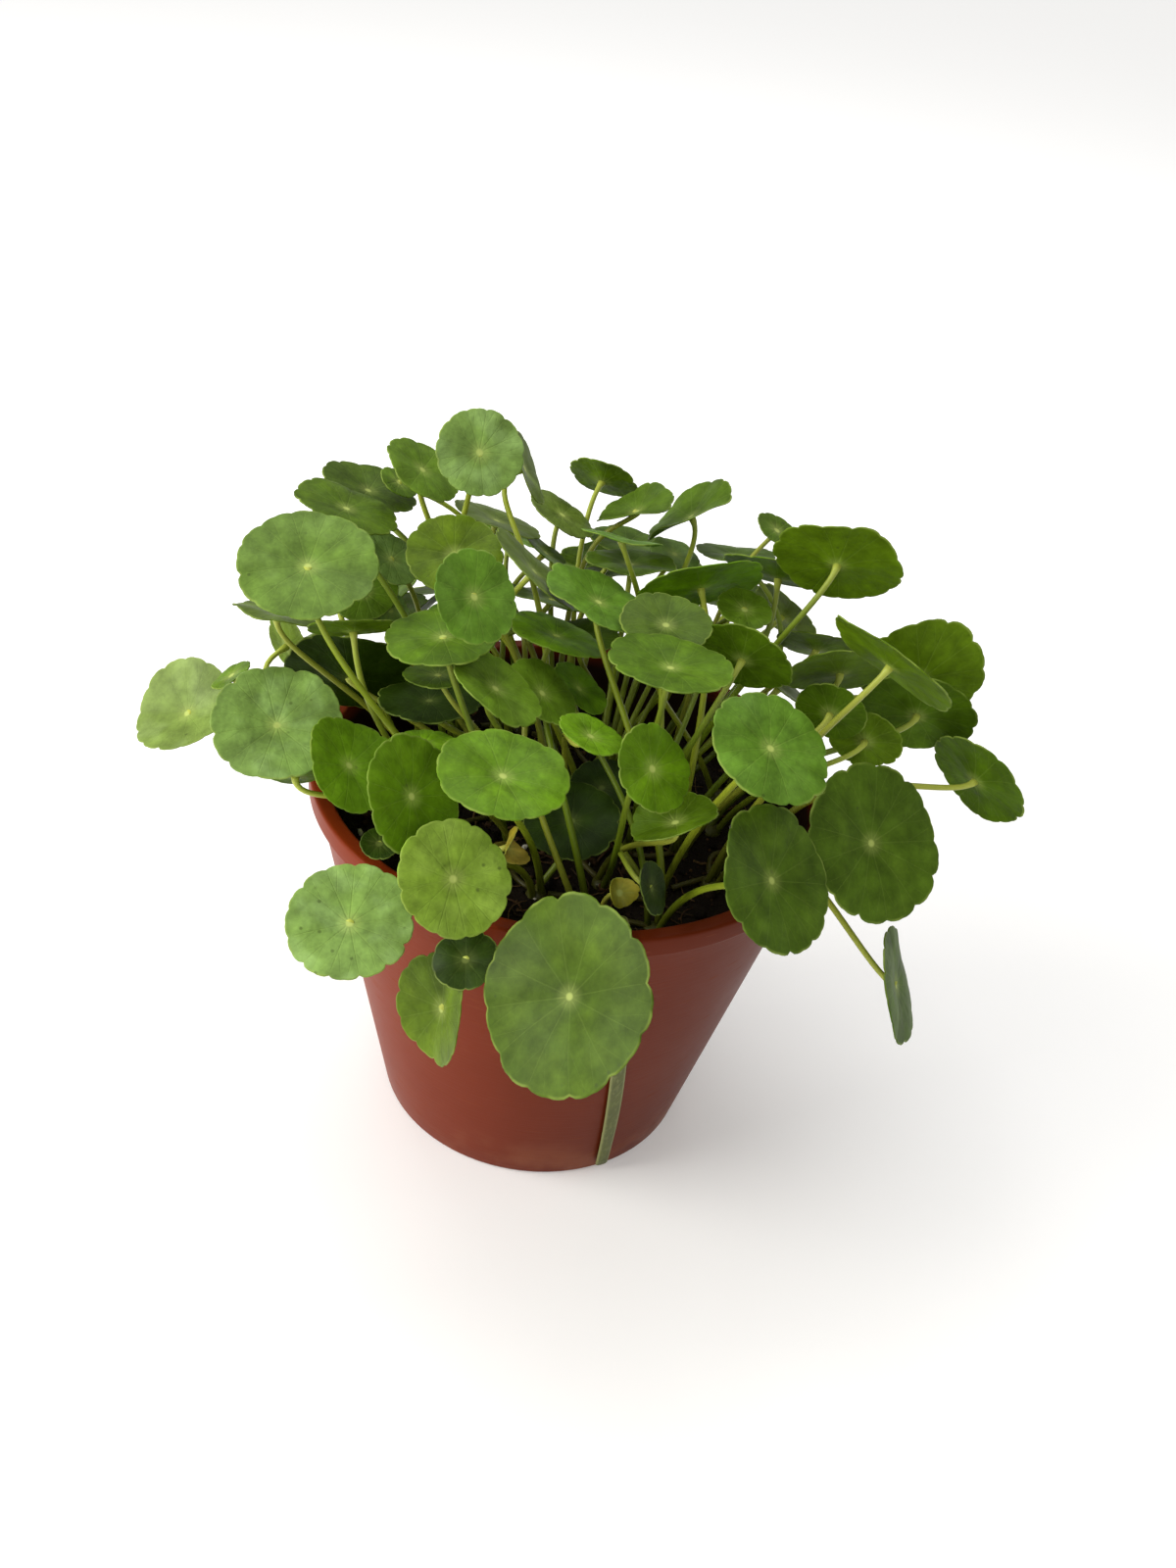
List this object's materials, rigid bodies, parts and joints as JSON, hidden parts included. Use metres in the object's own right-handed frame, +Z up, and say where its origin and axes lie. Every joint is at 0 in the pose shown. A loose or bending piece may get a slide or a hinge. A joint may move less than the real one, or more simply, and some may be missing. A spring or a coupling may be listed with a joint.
{
  "type": "potted plant",
  "caption": "Potted pennywort: round scalloped leaves on long thin stalks, rising in tufts from soil in a tapered plastic nursery pot with a lip.",
  "frame": {"origin": "the middle of the pot's flat underside, on the surface that it stands on", "axes": "+Z is up along the pot's axis; -Y faces a person who looks at the front of the plant; +X is to that person's right"},
  "size_m": [0.2461, 0.2449, 0.2099],
  "materials": {
    "pot": "satin terracotta-coloured plastic",
    "soil": "dark moist potting soil",
    "leaf": "satin mid-green leaf",
    "spent_stalk": "limp pale grey-green stalk"
  },
  "bodies": {
    "root": {"pot": "pot", "soil": "soil", "spent_stalk": "spent_stalk", "tuft_01": "leaf", "tuft_02": "leaf", "tuft_03": "leaf", "tuft_04": "leaf", "tuft_05": "leaf", "tuft_06": "leaf", "tuft_07": "leaf", "tuft_08": "leaf", "tuft_09": "leaf", "tuft_10": "leaf", "tuft_11": "leaf", "tuft_12": "leaf", "tuft_13": "leaf", "tuft_14": "leaf", "tuft_15": "leaf", "tuft_16": "leaf", "tuft_17": "leaf", "tuft_18": "leaf", "tuft_19": "leaf", "tuft_20": "leaf", "tuft_21": "leaf", "tuft_22": "leaf", "tuft_23": "leaf", "tuft_24": "leaf", "tuft_25": "leaf", "tuft_26": "leaf", "tuft_27": "leaf", "tuft_28": "leaf", "tuft_29": "leaf", "tuft_30": "leaf", "tuft_31": "leaf", "tuft_32": "leaf", "tuft_33": "leaf", "tuft_34": "leaf", "tuft_35": "leaf", "tuft_36": "leaf"}
  },
  "joints": []
}
